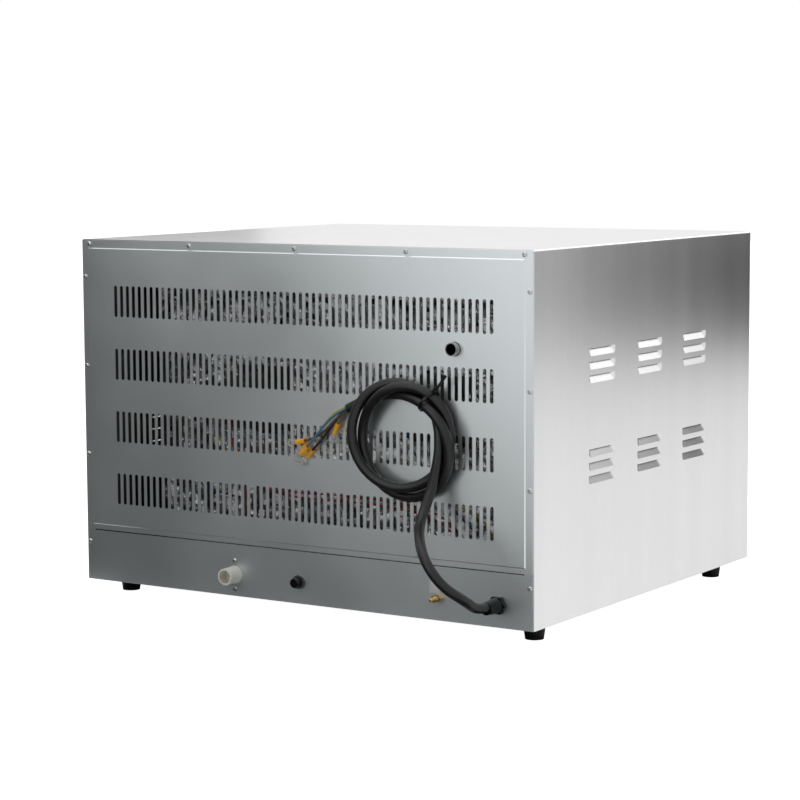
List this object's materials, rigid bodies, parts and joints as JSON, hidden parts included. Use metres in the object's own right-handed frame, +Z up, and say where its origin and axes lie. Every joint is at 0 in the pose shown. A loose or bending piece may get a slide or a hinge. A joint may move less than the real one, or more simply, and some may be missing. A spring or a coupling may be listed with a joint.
{
  "type": "countertop convection oven with steam injection",
  "caption": "Countertop convection oven with drop-down glass door, slotted rear panel, louvred sides, rubber feet, water inlet, steam outlet and a coiled power cable.",
  "frame": {"origin": "on the floor under the middle of the object, measured without the power cable", "axes": "+Z up, the door and its controls face -Y, the slotted rear panel faces +Y, +X is to the right seen from the door"},
  "size_m": [0.834, 0.9503, 0.577],
  "materials": {
    "brushed_shell": "vertical brushed",
    "galvanised_sheet": "satin",
    "black_rubber": "matte",
    "screw_steel": "satin",
    "brushed_front": "brushed",
    "chamber_steel": "satin",
    "blanket_wool": "foil faced",
    "rack_wire": "polished",
    "fan_steel": "satin",
    "shaft_steel": "ground",
    "motor_paint": "painted",
    "element_sheath": "dull",
    "lamp_glass": "frosted",
    "gasket_rubber": "matte",
    "door_steel": "brushed",
    "door_glass": "clear tinted",
    "handle_steel": "satin",
    "hinge_steel": "satin",
    "knob_plastic": "satin",
    "control_plastic": "satin",
    "button_plastic": "satin",
    "reset_plastic": "satin",
    "indicator_plastic": "clear",
    "valve_nylon": "satin",
    "pipe_metal": "drawn",
    "tube_steel": "drawn",
    "earth_brass": "turned",
    "block_nylon": "satin",
    "gland_nylon": "satin",
    "cable_rubber": "matte",
    "tie_nylon": "satin",
    "core_yellow_green": "satin",
    "core_blue": "satin",
    "core_black": "satin",
    "core_brown": "satin",
    "core_grey": "satin",
    "ring_metal": "tinned",
    "sleeve_yellow": "satin",
    "loom_red": "satin"
  },
  "bodies": {
    "casing": {"outer_shell": "brushed_shell", "rear_panel": "galvanised_sheet", "lower_rear_plate": "galvanised_sheet", "base_pan": "galvanised_sheet", "foot_front_left": "black_rubber", "foot_front_right": "black_rubber", "foot_rear_left": "black_rubber", "foot_rear_right": "black_rubber", "panel_screws": "screw_steel", "front_frame": "brushed_front", "control_panel": "brushed_front", "oven_chamber": "chamber_steel", "fan_baffle": "chamber_steel", "insulation_blanket": "blanket_wool", "rack_left": "rack_wire", "rack_right": "rack_wire", "fan_motor_left": "motor_paint", "fan_motor_right": "motor_paint", "heating_element_left": "element_sheath", "heating_element_right": "element_sheath", "oven_lamp": "lamp_glass", "door_gasket": "gasket_rubber", "hinge_bracket_left": "hinge_steel", "hinge_bracket_right": "hinge_steel", "temperature_thermostat": "control_plastic", "timer_body": "control_plastic", "steam_switch": "control_plastic", "safety_thermostat": "control_plastic", "indicator_lamps": "indicator_plastic", "water_valve": "valve_nylon", "water_pipe": "pipe_metal", "steam_outlet_tube": "tube_steel", "earth_terminal": "earth_brass", "terminal_block": "block_nylon", "cable_gland": "gland_nylon", "gland_nut": "gland_nylon", "power_cable": "cable_rubber", "power_cable_coil": "cable_rubber", "cable_tie": "tie_nylon", "core_earth": "core_yellow_green", "core_blue": "core_blue", "core_black": "core_black", "core_brown": "core_brown", "core_grey": "core_grey", "ring_terminals": "ring_metal", "terminal_sleeves": "sleeve_yellow", "wiring_loom": "loom_red"},
    "door": {"door_frame": "door_steel", "door_inner_panel": "door_steel", "door_outer_glass": "door_glass", "door_inner_glass": "door_glass", "door_handle": "handle_steel"},
    "temperature_knob": {"temperature_knob": "knob_plastic"},
    "timer_knob": {"timer_knob": "knob_plastic"},
    "steam_button": {"steam_button": "button_plastic"},
    "reset_button": {"reset_button": "reset_plastic"},
    "left_fan": {"fan_wheel_left": "fan_steel", "fan_shaft_left": "shaft_steel"},
    "right_fan": {"fan_wheel_right": "fan_steel", "fan_shaft_right": "shaft_steel"}
  },
  "joints": [
    {"name": "door_hinge", "type": "hinge", "parent": "casing", "child": "door", "pos_m": [0, -0.3455, 0.12], "axis": [1, 0, 0], "range_deg": [0, 90]},
    {"name": "temperature_turn", "type": "hinge", "parent": "casing", "child": "temperature_knob", "pos_m": [-0.04, -0.3445, 0.065], "axis": [0, -1, 0], "range_deg": [-300, 0]},
    {"name": "timer_turn", "type": "hinge", "parent": "casing", "child": "timer_knob", "pos_m": [-0.19, -0.3445, 0.065], "axis": [0, -1, 0], "range_deg": [-330, 0]},
    {"name": "steam_press", "type": "slide", "parent": "casing", "child": "steam_button", "axis": [0, 1, 0], "range_m": [0, 0.003], "stiffness_N_per_m": 400, "springref_m": -0.002},
    {"name": "reset_press", "type": "slide", "parent": "casing", "child": "reset_button", "axis": [0, -1, 0], "range_m": [0, 0.002], "stiffness_N_per_m": 400, "springref_m": -0.002},
    {"name": "left_fan_spin", "type": "hinge", "parent": "casing", "child": "left_fan", "pos_m": [-0.172, 0.177, 0.32], "axis": [0, 1, 0], "continuous": true},
    {"name": "right_fan_spin", "type": "hinge", "parent": "casing", "child": "right_fan", "pos_m": [0.172, 0.177, 0.32], "axis": [0, 1, 0], "continuous": true}
  ]
}
